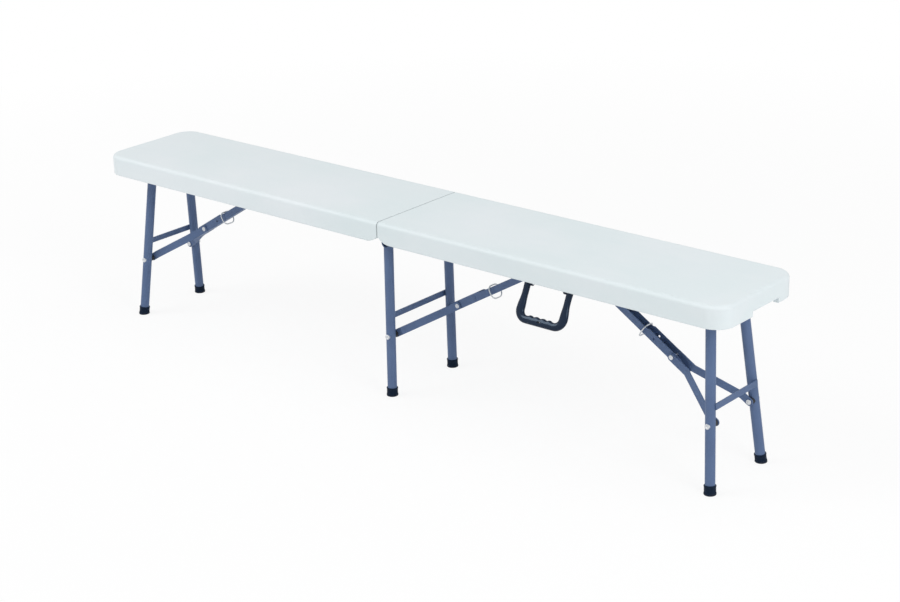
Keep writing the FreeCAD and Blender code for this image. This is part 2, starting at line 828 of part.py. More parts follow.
def clamps(half):
    """Two flanged saddles round a pivot tube, and their screws."""
    saddles = []
    for side in (-1, 1):
        body = new_body("ClampBody")
        flange_level = floor_level - mm.clamp_flange
        points = [(-clamp_half, flange_level), (-clamp_neck_half, flange_level),
                  (-clamp_neck_half, end_pivot_z), (clamp_neck_half, end_pivot_z),
                  (clamp_neck_half, flange_level), (clamp_half, flange_level),
                  (clamp_half, floor_level), (-clamp_half, floor_level)]
        pad(body, polygon(body, "XZ_Plane", points), mm.clamp_width, "Symmetric")
        barrel_radius = tube_radius + mm.floor_gap - mm.clamp_floor_gap
        pad(body, circles(body, "XZ_Plane", [(0, end_pivot_z)], barrel_radius), mm.clamp_width,
            "Symmetric")
        drill(body, "XZ_Plane", [(0, end_pivot_z)], tube_bore)
        drill(body, "XY_Plane", [(step * clamp_screw_x, 0) for step in (-1, 1)],
              mm.screw_diameter / 2)
        put(body, end_pivot_x, side * clamp_y, 0)
        saddles.append(body)
    finish(group(saddles), f"{half}_pivot_clamps", half_turn(YAW[half]))
    screws(f"{half}_clamp_screws", clamp_spots, floor_level - mm.clamp_flange, mm.clamp_flange,
           YAW[half])


# Brackets that carry the struts' upper pins

def anchor_bracket(x, level):
    """A plate under the seat's floor with two ears down to a strut's upper pin."""
    plate_level = floor_level - mm.anchor_plate
    ear_half = strap_inner + mm.anchor_ear
    lowest = level - mm.anchor_ear_drop
    body = new_body("AnchorBody")
    ears = rectangle(body, "XZ_Plane", (x - mm.anchor_ear_reach, lowest),
                     (x + mm.anchor_ear_reach, floor_level))
    pad(body, ears, ear_half * 2, "Symmetric")
    start, end = x - mm.anchor_plate_margin, x + mm.anchor_plate_margin
    plate = rectangle(body, "XY_Plane", (start, -mm.anchor_plate_half),
                      (end, mm.anchor_plate_half), plate_level)
    pad(body, plate, mm.anchor_plate)
    gap = rectangle(body, "XY_Plane", (start, -strap_inner), (end, strap_inner), lowest - OVERCUT)
    pocket(body, gap, plate_level - lowest + OVERCUT)
    round_edges(body, mm.anchor_ear_corner,
                lambda at, way, edge: abs(way.y) > 0.9 and near(at.z, lowest))
    drill(body, "XZ_Plane", [(x, level)], pin_radius)
    spots = [(x + step * mm.anchor_screw_margin, side * mm.anchor_screw_y)
             for side in (-1, 1) for step in (-1, 1)]
    drill(body, "XY_Plane", spots, mm.screw_diameter / 2)
    return body


def anchor_pin(x, level):
    """A pin through both ears and the strut, with a flat head at each end."""
    ear_half = strap_inner + mm.anchor_ear
    shank = rod(pin_radius, (x, -ear_half, level), ear_half * 2, ALONG_Y)
    heads = [rod(mm.anchor_head_diameter / 2, (x, side * ear_half, level), mm.anchor_plate,
                 outward(side)) for side in (-1, 1)]
    return fuse(shank, *heads)


def anchor_brackets(half):
    """The strut brackets of one seat half, their pins and their screws."""
    turn = half_turn(YAW[half])
    finish(group([anchor_bracket(*spot) for spot in anchors[half]]), f"{half}_strut_brackets", turn)
    finish(group([anchor_pin(*spot) for spot in anchors[half]]), f"{half}_strut_pins", turn)
    screws(f"{half}_bracket_screws", anchor_spots[half], floor_level - mm.anchor_plate,
           mm.anchor_plate, YAW[half])


# Hinge brackets of the two seat halves, both round the middle frame's axle

def hinge_brackets(half, plate_y):
    """Two eyed plates with a screwed flange, from the axle to one half's floor."""
    inside = mm.seam_gap / 2 + mm.rim_wall + mm.hinge_rim_gap
    reach = mm.hinge_reach
    root_half = eye_radius - mm.eye_inset
    points = [(mm.hinge_start, axis_level - root_half), (inside, axis_level - mm.hinge_neck_half),
              (mm.hinge_knee_x, axis_level - mm.hinge_knee_drop),
              (reach, floor_level - mm.hinge_tip), (reach, floor_level), (inside, floor_level),
              (inside, axis_level + mm.hinge_neck_half), (mm.hinge_start, axis_level + root_half)]
    plates = []
    for side in (-1, 1):
        body = new_body("HingeBody")
        pad(body, polygon(body, "XZ_Plane", points), mm.hinge_plate, "Symmetric")
        pad(body, circles(body, "XZ_Plane", [(0, axis_level)], eye_radius), mm.hinge_plate,
            "Symmetric")
        flange = rectangle(body, "XY_Plane", (inside, -mm.flange_half), (reach, mm.flange_half),
                           floor_level - mm.flange_thick)
        pad(body, flange, mm.flange_thick)
        drill(body, "XZ_Plane", [(0, axis_level)], tube_bore)
        drill(body, "XY_Plane", [(mm.hinge_screw_x, step * mm.hinge_screw_y) for step in (-1, 1)],
              mm.screw_diameter / 2)
        put(body, 0, side * plate_y, 0)
        plates.append(body)
    finish(group(plates), f"{half}_hinge_brackets", half_turn(YAW[half]))
    screws(f"{half}_hinge_screws", hinge_spots[half], floor_level - mm.flange_thick,
           mm.flange_thick, YAW[half])


for half_name, bracket_y in (("right", right_plate_y), ("left", left_plate_y)):
    clamps(half_name)
    anchor_brackets(half_name)
    hinge_brackets(half_name, bracket_y)


# Carrying handle under the front rim of the right half

def handle():
    """A moulded U with a ridged grip, hung on two pins and tilted outwards."""
    half_thick = mm.handle_thick / 2
    body = new_body("HandleBody")
    inner_half = mm.handle_half - mm.handle_arm
    inner_drop = mm.handle_drop - mm.handle_grip
    right_side = [(mm.handle_half, half_thick), (mm.handle_waist, -mm.handle_waist_drop),
                  (mm.handle_bulge, -mm.handle_bulge_drop), (mm.handle_bulge, -mm.handle_drop)]
    inner_side = [(inner_half - mm.handle_draw, -inner_drop), (inner_half, -mm.handle_waist_drop),
                  (inner_half, half_thick)]
    mirrored = [(-x, z) for x, z in reversed(right_side)]
    inner_left = [(-x, z) for x, z in reversed(inner_side)]
    points = right_side + mirrored + inner_left + inner_side
    pad(body, polygon(body, "XZ_Plane", points), mm.handle_thick, "Symmetric")
    round_edges(body, mm.handle_corner,
                lambda at, way, edge: abs(way.y) > 0.9 and near(at.z, -mm.handle_drop))
    round_edges(body, mm.handle_inner_corner,
                lambda at, way, edge: abs(way.y) > 0.9 and near(at.z, -inner_drop))
    first = (1 - RIDGES) / 2 * mm.ridge_pitch
    level = mm.ridge_rise - inner_drop - mm.ridge_radius
    ridges = circles(body, "XZ_Plane", [(first, level)], mm.ridge_radius)
    ridge = pad(body, ridges, mm.handle_thick, "Symmetric")
    pattern = body.newObject("PartDesign::LinearPattern", "Ridges")
    pattern.Originals = [ridge]
    pattern.Direction = (ridges, ["H_Axis"])
    pattern.Occurrences = RIDGES
    bind(pattern, Length=mm.ridge_pitch * (RIDGES - 1))
    body.Tip = pattern
    round_edges(body, half_thick - mm.blend_slack,
                lambda at, way, edge: abs(way.x) > 0.9 and near(at.z, half_thick))
    slot_low = -inner_drop - mm.slot_drop
    slot = rectangle(body, "XZ_Plane", (-mm.slot_length / 2, slot_low),
                     (mm.slot_length / 2, slot_low + mm.slot_height))
    opening = body.newObject("PartDesign::Pocket", "Slot")
    opening.Profile = slot
    opening.Type = "ThroughAll"
    opening.SideType = "Symmetric"
    drill(body, "YZ_Plane", [(0, 0)], mm.handle_pin_diameter / 2 + mm.pin_clearance)
    tilt = Rotation(Vector(1, 0, 0), -float(mm.handle_tilt))
    place = Placement(Vector(float(mm.handle_x), float(handle_y), float(axis_level)), tilt)
    finish(body, "handle", place)


def handle_mounting():
    """A strip with two lugs behind the front rim, the handle's pins and the strip's screws."""
    lug_outer = mm.handle_half - mm.handle_arm - mm.lug_gap
    lug_inner = lug_outer - mm.lug_thick
    body = new_body("HandleBracketBody")
    strip = rectangle(body, "XY_Plane", (-lug_outer, -mm.lug_half), (lug_outer, mm.lug_half),
                      floor_level - mm.handle_strip)
    pad(body, strip, mm.handle_strip)
    low = axis_level - mm.lug_half
    for side in (-1, 1):
        start, end = sorted((side * lug_inner, side * lug_outer), key=float)
        lug = rectangle(body, "XY_Plane", (start, -mm.lug_half), (end, mm.lug_half), low)
        pad(body, lug, floor_level - low)
    round_edges(body, mm.lug_half - mm.blend_slack,
                lambda at, way, edge: abs(way.x) > 0.9 and near(at.z, low))
    drill(body, "YZ_Plane", [(0, axis_level)], mm.handle_pin_diameter / 2)
    drill(body, "XY_Plane", [(side * mm.handle_screw_x, 0) for side in (-1, 1)],
          mm.screw_diameter / 2)
    put(body, mm.handle_x, handle_y, 0)
    finish(body, "handle_bracket")
    pins = []
    for side in (-1, 1):
        turn = Rotation(Vector(0, 1, 0), 90 * side)
        start = (mm.handle_x + side * lug_inner, handle_y, axis_level)
        shank = rod(mm.handle_pin_diameter / 2, start,
                    mm.handle_half - mm.lug_gap * 2 - lug_inner, turn)
        head_start = (mm.handle_x + side * (lug_inner - mm.handle_pin_head_thick), handle_y, axis_level)
        head = rod(mm.handle_pin_head / 2, head_start, mm.handle_pin_head_thick, turn)
        pins.append(fuse(shank, head))
    finish(group(pins), "handle_pins")
    screws("handle_screws", handle_spots, floor_level - mm.handle_strip, mm.handle_strip, 0)


handle()
handle_mounting()

# Checks and export

doc.recompute()
os.makedirs("parts", exist_ok=True)
for item in doc.Objects:
    if {"Invalid", "Error"} & set(item.State):
        raise ValueError(f"{item.Name} ({item.Label}) could not be made: {item.State}")
for piece in pieces:
    if piece.Shape.isNull() or not piece.Shape.isValid() or not piece.Shape.Solids:
        raise ValueError(f"{piece.Label} has no valid shape")
for piece in pieces:
    piece.Shape.exportStep(f"parts/{piece.Label}.step")
    extent = piece.Shape.BoundBox
    print(f"{piece.Label}: {len(piece.Shape.Solids)} solid(s), {piece.Shape.Volume:.0f} mm3, "
          f"z {extent.ZMin:.1f} to {extent.ZMax:.1f}")
print(len(pieces), "nodes")
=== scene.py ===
import json
from math import copysign, cos, pi, radians, sin

import bmesh
import bpy
from mathutils import Matrix, Vector


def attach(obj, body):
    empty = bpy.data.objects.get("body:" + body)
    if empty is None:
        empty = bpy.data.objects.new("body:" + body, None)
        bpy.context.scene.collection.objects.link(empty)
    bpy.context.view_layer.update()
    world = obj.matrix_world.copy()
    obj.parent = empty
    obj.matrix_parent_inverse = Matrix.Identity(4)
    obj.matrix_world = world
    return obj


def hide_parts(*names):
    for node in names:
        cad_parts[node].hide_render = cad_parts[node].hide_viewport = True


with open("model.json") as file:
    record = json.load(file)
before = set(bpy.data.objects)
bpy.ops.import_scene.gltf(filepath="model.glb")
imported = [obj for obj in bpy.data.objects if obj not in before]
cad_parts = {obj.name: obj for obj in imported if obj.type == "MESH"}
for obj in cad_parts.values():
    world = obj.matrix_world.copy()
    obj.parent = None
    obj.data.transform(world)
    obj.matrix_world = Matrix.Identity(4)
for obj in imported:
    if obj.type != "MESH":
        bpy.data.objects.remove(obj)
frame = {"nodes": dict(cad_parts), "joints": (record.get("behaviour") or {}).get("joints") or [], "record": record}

# Folding bench with a pale moulded seat in two halves, blue-grey tube frames, folding braces
# and a black carrying handle. Metres, +Z up, X along the seat, the front at -Y.

scene = bpy.context.scene
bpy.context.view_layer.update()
record = frame["record"]
node_slot = {part["node"]: part["material_slot"] for part in record["subparts"]}
node_body = {node: body for body, nodes in record["behaviour"]["bodies"].items()
             for node in nodes}
joint_place = {joint["name"]: Vector(joint["pos_m"]) for joint in frame["joints"]
               if joint["type"] == "hinge"}

FRAMES = ("right", "left", "middle")
MM = 0.001
UP = Vector((0, 0, 1))
ACROSS = Vector((0, 1, 0))


# Materials

class Wire:
    """A node's output that takes part in sums like a number."""

    def __init__(self, nodes, socket):
        self.nodes = nodes
        self.socket = socket

    def maths(self, operation, *values):
        return self.nodes.node("ShaderNodeMath", {"operation": operation},
                               dict(enumerate(values)))

    def __add__(self, other):
        return self.maths("ADD", self, other)

    def __radd__(self, other):
        return self.maths("ADD", other, self)

    def __rsub__(self, other):
        return self.maths("SUBTRACT", other, self)

    def __mul__(self, other):
        return self.maths("MULTIPLY", self, other)

    def __rmul__(self, other):
        return self.maths("MULTIPLY", other, self)

    def __abs__(self):
        return self.maths("ABSOLUTE", self)

    def at_least(self, other):
        return self.maths("MAXIMUM", self, other)

    def at_most(self, other):
        return self.maths("MINIMUM", self, other)


class Nodes:
    """The nodes of a material, or of the surround, while they are laid out."""

    def __init__(self, tree):
        self.tree = tree

    def node(self, kind, settings, sockets, output=0):
        """Any node: its settings first, then the values or wires of its sockets."""
        made = self.tree.nodes.new(kind)
        for name, value in settings.items():
            setattr(made, name, value)
        for key, value in sockets.items():
            if isinstance(value, Wire):
                self.tree.links.new(value.socket, made.inputs[key])
            else:
                made.inputs[key].default_value = value
        return Wire(self, made.outputs[output])

    def join(self, wire, node, socket):
        """Lead a wire into a socket of a node that is already there."""
        self.tree.links.new(wire.socket, node.inputs[socket])


class Finish(Nodes):
    """A material with its shader; uniform values go straight onto the shader's sockets."""

    def __init__(self, name, **uniform):
        self.material = bpy.data.materials.new(name)
        self.material.use_nodes = True
        super().__init__(self.material.node_tree)
        self.shader = self.tree.nodes["Principled BSDF"]
        for socket, value in uniform.items():
            self.shader.inputs[socket.replace("_", " ")].default_value = value

    def place(self):
        """The point on the piece, in metres."""
        return self.node("ShaderNodeTexCoord", {}, {}, "Object")

    def coordinate(self, axis):
        """How far the point lies along X, Y or Z, in metres, with the bench open."""
        return self.node("ShaderNodeSeparateXYZ", {}, {"Vector": self.place()}, axis)

    def noise(self, scale, detail=2.0, roughness=0.5, stretch=(1, 1, 1)):
        """Soft noise from 0 to 1, so many spots to the metre."""
        spot = self.node("ShaderNodeMapping", {}, {"Vector": self.place(), "Scale": stretch})
        return self.node("ShaderNodeTexNoise", {},
                         {"Vector": spot, "Scale": scale, "Detail": detail,
                          "Roughness": roughness})

    def cells(self, scale, feature="F1"):
        """Distance to the nearest of scattered points, so many to the metre."""
        return self.node("ShaderNodeTexVoronoi", {"feature": feature},
                         {"Vector": self.place(), "Scale": scale})

    def band(self, value, low, high):
        """0 below the low value, 1 above the high one."""
        return self.node("ShaderNodeMapRange", {"clamp": True},
                         {"Value": value, "From Min": low, "From Max": high, "To Min": 0.0,
                          "To Max": 1.0})

    def mix(self, share, first, last):
        """One colour turning into another."""
        def opaque(value):
            return value if isinstance(value, Wire) else (*value, 1)
        return self.node("ShaderNodeMix", {"data_type": "RGBA"},
                         {0: share, 6: opaque(first), 7: opaque(last)}, 2)

    def colour(self, value):
        self.join(value, self.shader, "Base Color")

    def roughness(self, value):
        self.join(value, self.shader, "Roughness")

    def relief(self, height, depth, strength):
        """Raise the surface by the height times a depth in metres."""
        bump = self.node("ShaderNodeBump", {}, {"Height": height, "Distance": depth,
                                                "Strength": strength})
        self.join(bump, self.shader, "Normal")


def seat_plastic():
    """Cool white moulded plastic with a fine pebbled grain, and painted shade darkening the centre seam."""
    shade, clear, bloom = (0.705, 0.785, 0.805), (0.765, 0.81, 0.84), (0.79, 0.835, 0.85)
    # Painted shade: the dark colour used for the thin band along the centre seam.
    seam_shade_colour = (0.30, 0.345, 0.35)
    made = Finish("seat_plastic", IOR=1.5, Specular_IOR_Level=0.42)
    clouds = made.noise(scale=3.2, detail=3.0)
    flow = made.noise(scale=26, detail=4.0, roughness=0.55, stretch=(0.25, 1, 1))
    pebbles = made.cells(scale=620, feature="SMOOTH_F1")
    grain = made.noise(scale=900, detail=3.0, roughness=0.6)
    base = made.mix(made.band(clouds, 0.35, 0.68), shade, clear)
    skin = made.mix(made.band(flow, 0.3, 0.8) * 0.35, base, bloom)
    # Painted shade: the base colour darkens in a thin band at X = 0, where the two seat halves meet.
    seam_shade = 1 - made.band(abs(made.coordinate("X")), 0.7 * MM, 2.1 * MM)
    made.colour(made.mix(seam_shade * 0.62, skin, seam_shade_colour))
    made.roughness(0.40 + 0.12 * flow + 0.06 * grain)
    made.relief(pebbles * 0.7 + grain * 0.5 + flow * 0.6, depth=0.22 * MM, strength=0.55)
    return made.material


def frame_paint():
    """Blue-grey powder coat with the fine orange peel that it cures to."""
    deep, light, fleck = (0.081, 0.128, 0.246), (0.099, 0.154, 0.286), (0.16, 0.235, 0.39)
    made = Finish("frame_paint", IOR=1.5, Specular_IOR_Level=0.3)
    clouds = made.noise(scale=14, detail=3.0)
    peel = made.noise(scale=520)
    speck = made.noise(scale=2600, detail=1.0)
    base = made.mix(made.band(clouds, 0.3, 0.7), deep, light)
    made.colour(made.mix(made.band(speck, 0.56, 0.78) * 0.5, base, fleck))
    made.roughness(0.34 + 0.14 * peel + 0.06 * speck)
    made.relief(peel * 0.8 + speck * 0.25, depth=0.16 * MM, strength=0.6)
    return made.material


def cap_plastic():
    """Near-black foot plastic, a little dusty and scuffed where it meets the floor."""
    deep, light, dust = (0.003, 0.010, 0.026), (0.006, 0.016, 0.036), (0.10, 0.10, 0.105)
    made = Finish("cap_plastic", IOR=1.48, Specular_IOR_Level=0.1)
    grain = made.noise(scale=1500, detail=3.0)
    scuffs = made.noise(scale=260, detail=4.0, roughness=0.7, stretch=(1, 1, 0.35))
    low = 1 - made.band(made.coordinate("Z"), 0.5 * MM, 6 * MM)
    worn = (low * made.band(scuffs, 0.45, 0.7)).at_most(1.0).at_least(0.0)
    made.colour(made.mix(worn * 0.55, made.mix(grain, deep, light), dust))
    made.roughness(0.42 + 0.12 * grain + 0.22 * worn)
    made.relief(grain + scuffs * 0.4, depth=0.12 * MM, strength=0.5)
    return made.material


def handle_plastic():
    """Glossy near-black plastic, with faint flow marks."""
    deep, light = (0.003, 0.007, 0.022), (0.006, 0.0125, 0.034)
    made = Finish("handle_plastic", IOR=1.5, Specular_IOR_Level=0.36,
                  Specular_Tint=(0.6, 0.8, 1.0, 1.0))
    flow = made.noise(scale=55, detail=3.0, roughness=0.6, stretch=(0.3, 1, 1))
    grain = made.noise(scale=1800)
    made.colour(made.mix(flow, deep, light))
    made.roughness(0.07 + 0.07 * flow + 0.03 * grain)
    made.relief(flow * 0.6 + grain * 0.25, depth=0.1 * MM, strength=0.3)
    return made.material


def clamp_plastic():
    """Black nylon with a dull, slightly uneven skin."""
    deep, light = (0.012, 0.0125, 0.015), (0.021, 0.0215, 0.025)
    made = Finish("clamp_plastic", IOR=1.52, Specular_IOR_Level=0.4)
    grain = made.noise(scale=1100, detail=3.0, roughness=0.6)
    clouds = made.noise(scale=45, detail=3.0)
    made.colour(made.mix(clouds, deep, light))
    made.roughness(0.48 + 0.16 * grain)
    made.relief(grain, depth=0.12 * MM, strength=0.5)
    return made.material


def zinc_steel():
    """Bright zinc plate: small crystals of slightly different shine."""
    dull, bright = (0.56, 0.585, 0.62), (0.78, 0.79, 0.80)
    made = Finish("zinc_steel", Metallic=1.0, IOR=2.2)
    crystals = made.cells(scale=900)
    haze = made.noise(scale=160, detail=4.0, roughness=0.6)
    scratches = made.noise(scale=1400, stretch=(0.08, 1, 1))
    made.colour(made.mix(made.band(haze, 0.3, 0.75), dull, bright))
    made.roughness(0.24 + 0.16 * haze + 0.10 * crystals)
    made.relief(scratches * 0.5 + crystals * 0.3, depth=0.08 * MM, strength=0.5)
    return made.material


for imported in list(bpy.data.materials):
    bpy.data.materials.remove(imported)
finishes = {made.name: made for made in (seat_plastic(), frame_paint(), cap_plastic(),
                                         handle_plastic(), clamp_plastic(), zinc_steel())}
for node, item in frame["nodes"].items():
    item.data.materials.clear()
    item.data.materials.append(finishes[node_slot[node]])


# Modelling helpers

MERGE = 0.002 * MM
SMOOTH_UP_TO = radians(38)


def piece(name, shape, body, slot, *stands_for):
    """A finished piece from its bmesh: smooth where it is round, riding on its body."""
    mesh = bpy.data.meshes.new(name)
    for face in shape.faces:
        face.smooth = True
    shape.to_mesh(mesh)
    shape.free()
    mesh.set_sharp_from_angle(angle=SMOOTH_UP_TO)
    item = bpy.data.objects.new(name, mesh)
    scene.collection.objects.link(item)
    mesh.materials.append(finishes[slot])
    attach(item, body)
    if stands_for:
        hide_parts(*stands_for)
    return item


def merged_copy(node):
    """A bmesh of a CAD node with its loose triangles joined."""
    shape = bmesh.new()
    shape.from_mesh(frame["nodes"][node].data)
    bmesh.ops.remove_doubles(shape, verts=shape.verts, dist=MERGE)
    return shape


def islands(node):
    """The lowest and highest corner of each separate solid of a node."""
    shape = merged_copy(node)
    left = set(shape.verts)
    found = []
    while left:
        stack = [left.pop()]
        corners = []
        while stack:
            vert = stack.pop()
            corners.append(vert.co.copy())
            for edge in vert.link_edges:
                other = edge.other_vert(vert)
                if other in left:
                    left.remove(other)
                    stack.append(other)
        low = Vector([min(co[i] for co in corners) for i in range(3)])
        high = Vector([max(co[i] for co in corners) for i in range(3)])
        found.append((low, high))
    shape.free()
    return sorted(found, key=lambda box: tuple(box[0]))


def sides(node):
    """For each solid of a node: which side it is on, its inner and its outer face along Y."""
    for low, high in islands(node):
        inner, outer = sorted((abs(low.y), abs(high.y)))
        yield copysign(1, (low + high).y), inner, outer


def knee(name):
    """The middle of one brace's knee pin."""
    low, high = islands(f"{name}_knee_pin")[0]
    return (low + high) / 2


def bevelled(shape, edges, width, segments):
    """Round some edges of a bmesh."""
    bmesh.ops.bevel(shape, geom=edges, offset=width, segments=segments, profile=0.5,
                    affect="EDGES", material=-1)


def carved(shape, cutting_shape):
    """The first bmesh with the second taken away from it; both are used up."""
    items = []
    for part in (shape, cutting_shape):
        mesh = bpy.data.meshes.new("carving")
        part.to_mesh(mesh)
        part.free()
        items.append(bpy.data.objects.new("carving", mesh))
        scene.collection.objects.link(items[-1])
    recess = items[0].modifiers.new("recess", "BOOLEAN")
    recess.object = items[1]
    recess.operation = "DIFFERENCE"
    recess.solver = "EXACT"
    recess.use_self = True
    evaluated = items[0].evaluated_get(bpy.context.evaluated_depsgraph_get())
    finished = bmesh.new()
    finished.from_mesh(evaluated.to_mesh())
    for item in items:
        bpy.data.objects.remove(item)
    return finished


def turned(shape, profile, place, steps=32):
    """A closed form turned about its own Z axis from points of radius and height, then placed.

    Finished verts are tagged, so that the next form in the same bmesh leaves them alone."""
    verts = [shape.verts.new((radius, 0, height)) for radius, height in profile]
    edges = [shape.edges.new(pair) for pair in zip(verts, verts[1:])]
    bmesh.ops.spin(shape, geom=verts + edges, cent=(0, 0, 0), axis=UP, angle=2 * pi,
                   steps=steps, use_merge=True)
    fresh = [vert for vert in shape.verts if not vert.tag]
    bmesh.ops.remove_doubles(shape, verts=fresh, dist=0.001 * MM)
    fresh = [vert for vert in shape.verts if not vert.tag]
    faces = list({face for vert in fresh for face in vert.link_faces})
    bmesh.ops.recalc_face_normals(shape, faces=faces)
    bmesh.ops.transform(shape, matrix=place, verts=fresh)
    for vert in fresh:
        vert.tag = True
    return fresh


def rod(radius, length):
    """The profile of a plain round bar."""
    return [(0, 0), (radius, 0), (radius, length), (0, length)]


def arc(centre, radius, start, end, steps):
    """Points of a round stretch of a profile, by angles in degrees."""
    angles = [radians(start + (end - start) * step / steps) for step in range(steps + 1)]
    return [(centre[0] + radius * cos(a), centre[1] + radius * sin(a)) for a in angles]


def along(start, way):
    """The placement that turns the Z axis onto a direction and moves to a start point."""
    return Matrix.Translation(start) @ way.to_track_quat("Z", "Y").to_matrix().to_4x4()


def slab(place, *size):
    """A placement that stretches a unit cube to a size."""
    return place @ Matrix.Diagonal((*size, 1))


# Moulded and pressed pieces: their own shapes with the sharp edges eased

FLAT_UP_TO = radians(0.5)
SHARP_FROM = radians(40)
SCREW_SURROUND = 4 * MM


def eased(node, label, width, chosen=lambda edge: True):
    """A copy of a node in its place, each sharp edge rounded by the width."""
    shape = merged_copy(node)
    bmesh.ops.dissolve_limit(shape, angle_limit=FLAT_UP_TO, verts=shape.verts,
                             edges=shape.edges, use_dissolve_boundaries=False)
    sharp = [edge for edge in shape.edges
             if edge.is_manifold and edge.calc_face_angle() > SHARP_FROM and chosen(edge)]
    bevelled(shape, sharp, width, segments=3)
    item = piece(f"{node}_{label}", shape, node_body[node], node_slot[node], node)
    shading = item.modifiers.new("even shading", "WEIGHTED_NORMAL")
    shading.keep_sharp = True


def clear_of_screws(half):
    """A test that an edge of a seat half belongs to no screw hole."""
    middles = [(low + high) / 2 for node in sorted(frame["nodes"])
               if node.endswith("_screws") and node_body[node] == f"{half}_half"
               for low, high in islands(node)]

    def test(edge):
        place = (edge.verts[0].co + edge.verts[1].co) / 2
        return all((place - middle).xy.length > SCREW_SURROUND for middle in middles)
    return test


for half in ("right", "left"):
    eased(f"seat_{half}", "moulding", 1.4 * MM, clear_of_screws(half))
    eased(f"{half}_hinge_brackets", "pressed", 0.5 * MM)
    eased(f"{half}_strut_brackets", "pressed", 0.3 * MM)
    eased(f"{half}_pivot_clamps", "moulded", 0.5 * MM)
eased("handle_bracket", "moulded", 0.5 * MM)
for frame_name in FRAMES:
    eased(f"{frame_name}_strut", "pressed", 0.3 * MM)
    eased(f"{frame_name}_crossbar", "pressed", 0.5 * MM)
    for place in ("front", "rear"):
        eased(f"{frame_name}_{place}_strap", "pressed", 0.5 * MM)


# Rivets: domed tubular heads with a dimple, on a shank

SHANK_RADIUS = 2.95 * MM
LEG_HEAD_RADIUS = 6 * MM
LEG_OUTER_HEAD_RISE = 1.9 * MM
LEG_OUTER_HEAD_SKIRT = 2.4 * MM
LEG_INNER_HEAD_RISE = 2.2 * MM
SHANK_START = 0.4 * MM
KNEE_HEAD_RADIUS = 5.4 * MM
KNEE_HEAD_START = 3 * MM
KNEE_SHANK = 3.2 * MM
SPACER_RADIUS = 8 * MM
SPACER_LENGTH = 9.4 * MM
SPACER_EDGE = 0.8 * MM


def dimpled_head(radius, thick, skirt, dimple):
    """Half profile of a rivet head, from the shank side up to the dimple in its middle."""
    edge = 0.45 * thick
    crown = arc((radius - edge, thick - edge), edge, 0, 80, 5)
    dimple_floor = thick - 0.55 * thick
    return [(0, -skirt), (radius, -skirt)] + crown + [
        (dimple * 1.25, thick), (dimple, thick - 0.15 * thick), (dimple * 0.8, dimple_floor),
        (0, dimple_floor)]


def leg_rivets(name):
    """The rivets through one frame's legs, with a dimpled head at each end."""
    shape = bmesh.new()
    fold = joint_place[f"{name}_strap_fold"]
    for side, inner, outer in sides(f"{name}_leg_rivets"):
        outward = ACROSS * side

        def at(y):
            return Vector((fold.x, side * y, fold.z))

        turned(shape, dimpled_head(LEG_HEAD_RADIUS, LEG_OUTER_HEAD_RISE,
                                   LEG_OUTER_HEAD_SKIRT, dimple=2.2 * MM),
               along(at(outer - LEG_OUTER_HEAD_RISE), outward))
        turned(shape, rod(SHANK_RADIUS, outer - inner - LEG_INNER_HEAD_RISE),
               along(at(inner + SHANK_START), outward))
        turned(shape, dimpled_head(LEG_HEAD_RADIUS, LEG_INNER_HEAD_RISE, 0, dimple=2.0 * MM),
               along(at(inner + LEG_INNER_HEAD_RISE), -outward))
    piece(f"{name}_leg_rivet_heads", shape, f"{name}_legs", "zinc_steel",
          f"{name}_leg_rivets")


def knee_rivets(name):
    """The headed plugs of the straps at the knee."""
    shape = bmesh.new()
    middle = knee(name)
    for side, inner, outer in sides(f"{name}_knee_rivets"):
        outward = ACROSS * side
        start = Vector((middle.x, side * inner, middle.z))
        turned(shape, rod(SHANK_RADIUS, KNEE_SHANK), along(start, outward))
        turned(shape, dimpled_head(KNEE_HEAD_RADIUS, outer - inner - KNEE_HEAD_START, 0,
                                   dimple=1.9 * MM),
               along(start + outward * KNEE_HEAD_START, outward))
    piece(f"{name}_knee_rivet_heads", shape, f"{name}_straps", "zinc_steel",
          f"{name}_knee_rivets")


def spacer_discs(name):
    """The discs between the straps and the legs of one frame, their inner edges rounded."""
    shape = bmesh.new()
    fold = joint_place[f"{name}_strap_fold"]
    profile = ([(0, 0)]
               + arc((SPACER_RADIUS - SPACER_EDGE, SPACER_EDGE), SPACER_EDGE, -90, 0, 4)
               + [(SPACER_RADIUS, SPACER_LENGTH), (0, SPACER_LENGTH)])
    for side, inner, outer in sides(f"{name}_strap_spacers"):
        turned(shape, profile, along(Vector((fold.x, side * inner, fold.z)), ACROSS * side))
    piece(f"{name}_spacer_discs", shape, f"{name}_legs", "clamp_plastic",
          f"{name}_strap_spacers")


# The square that is pressed out of the middle strut

SQUARE = 10 * MM
SQUARE_THICK = 2.2 * MM
SQUARE_FROM_KNEE = 55 * MM
SQUARE_OFF_CENTRE = 1 * MM
STRUT_HALF_WIDTH = 11 * MM


def pressed_square():
    """The raised square on the front wall of the middle strut, over its lock hole."""
    middle = knee("middle")
    middle.y = 0
    way = (joint_place["middle_strut_fold"] - middle).normalized()
    square_up = way.cross(ACROSS)
    turn = Matrix((way, ACROSS, square_up)).transposed().to_4x4()
    place = Matrix.Translation(middle + way * SQUARE_FROM_KNEE + square_up * SQUARE_OFF_CENTRE
                               - ACROSS * STRUT_HALF_WIDTH) @ turn
    shape = bmesh.new()
    bmesh.ops.create_cube(shape, size=1, matrix=slab(place, SQUARE, SQUARE_THICK, SQUARE))
    bevelled(shape, list(shape.edges), 0.6 * MM, segments=3)
    piece("middle_strut_square", shape, "middle_strut_arm", "frame_paint")


# Foot caps: moulded round the leg, flared at the foot, with a rounded lip and a flat sole

TUBE_RADIUS = 11 * MM
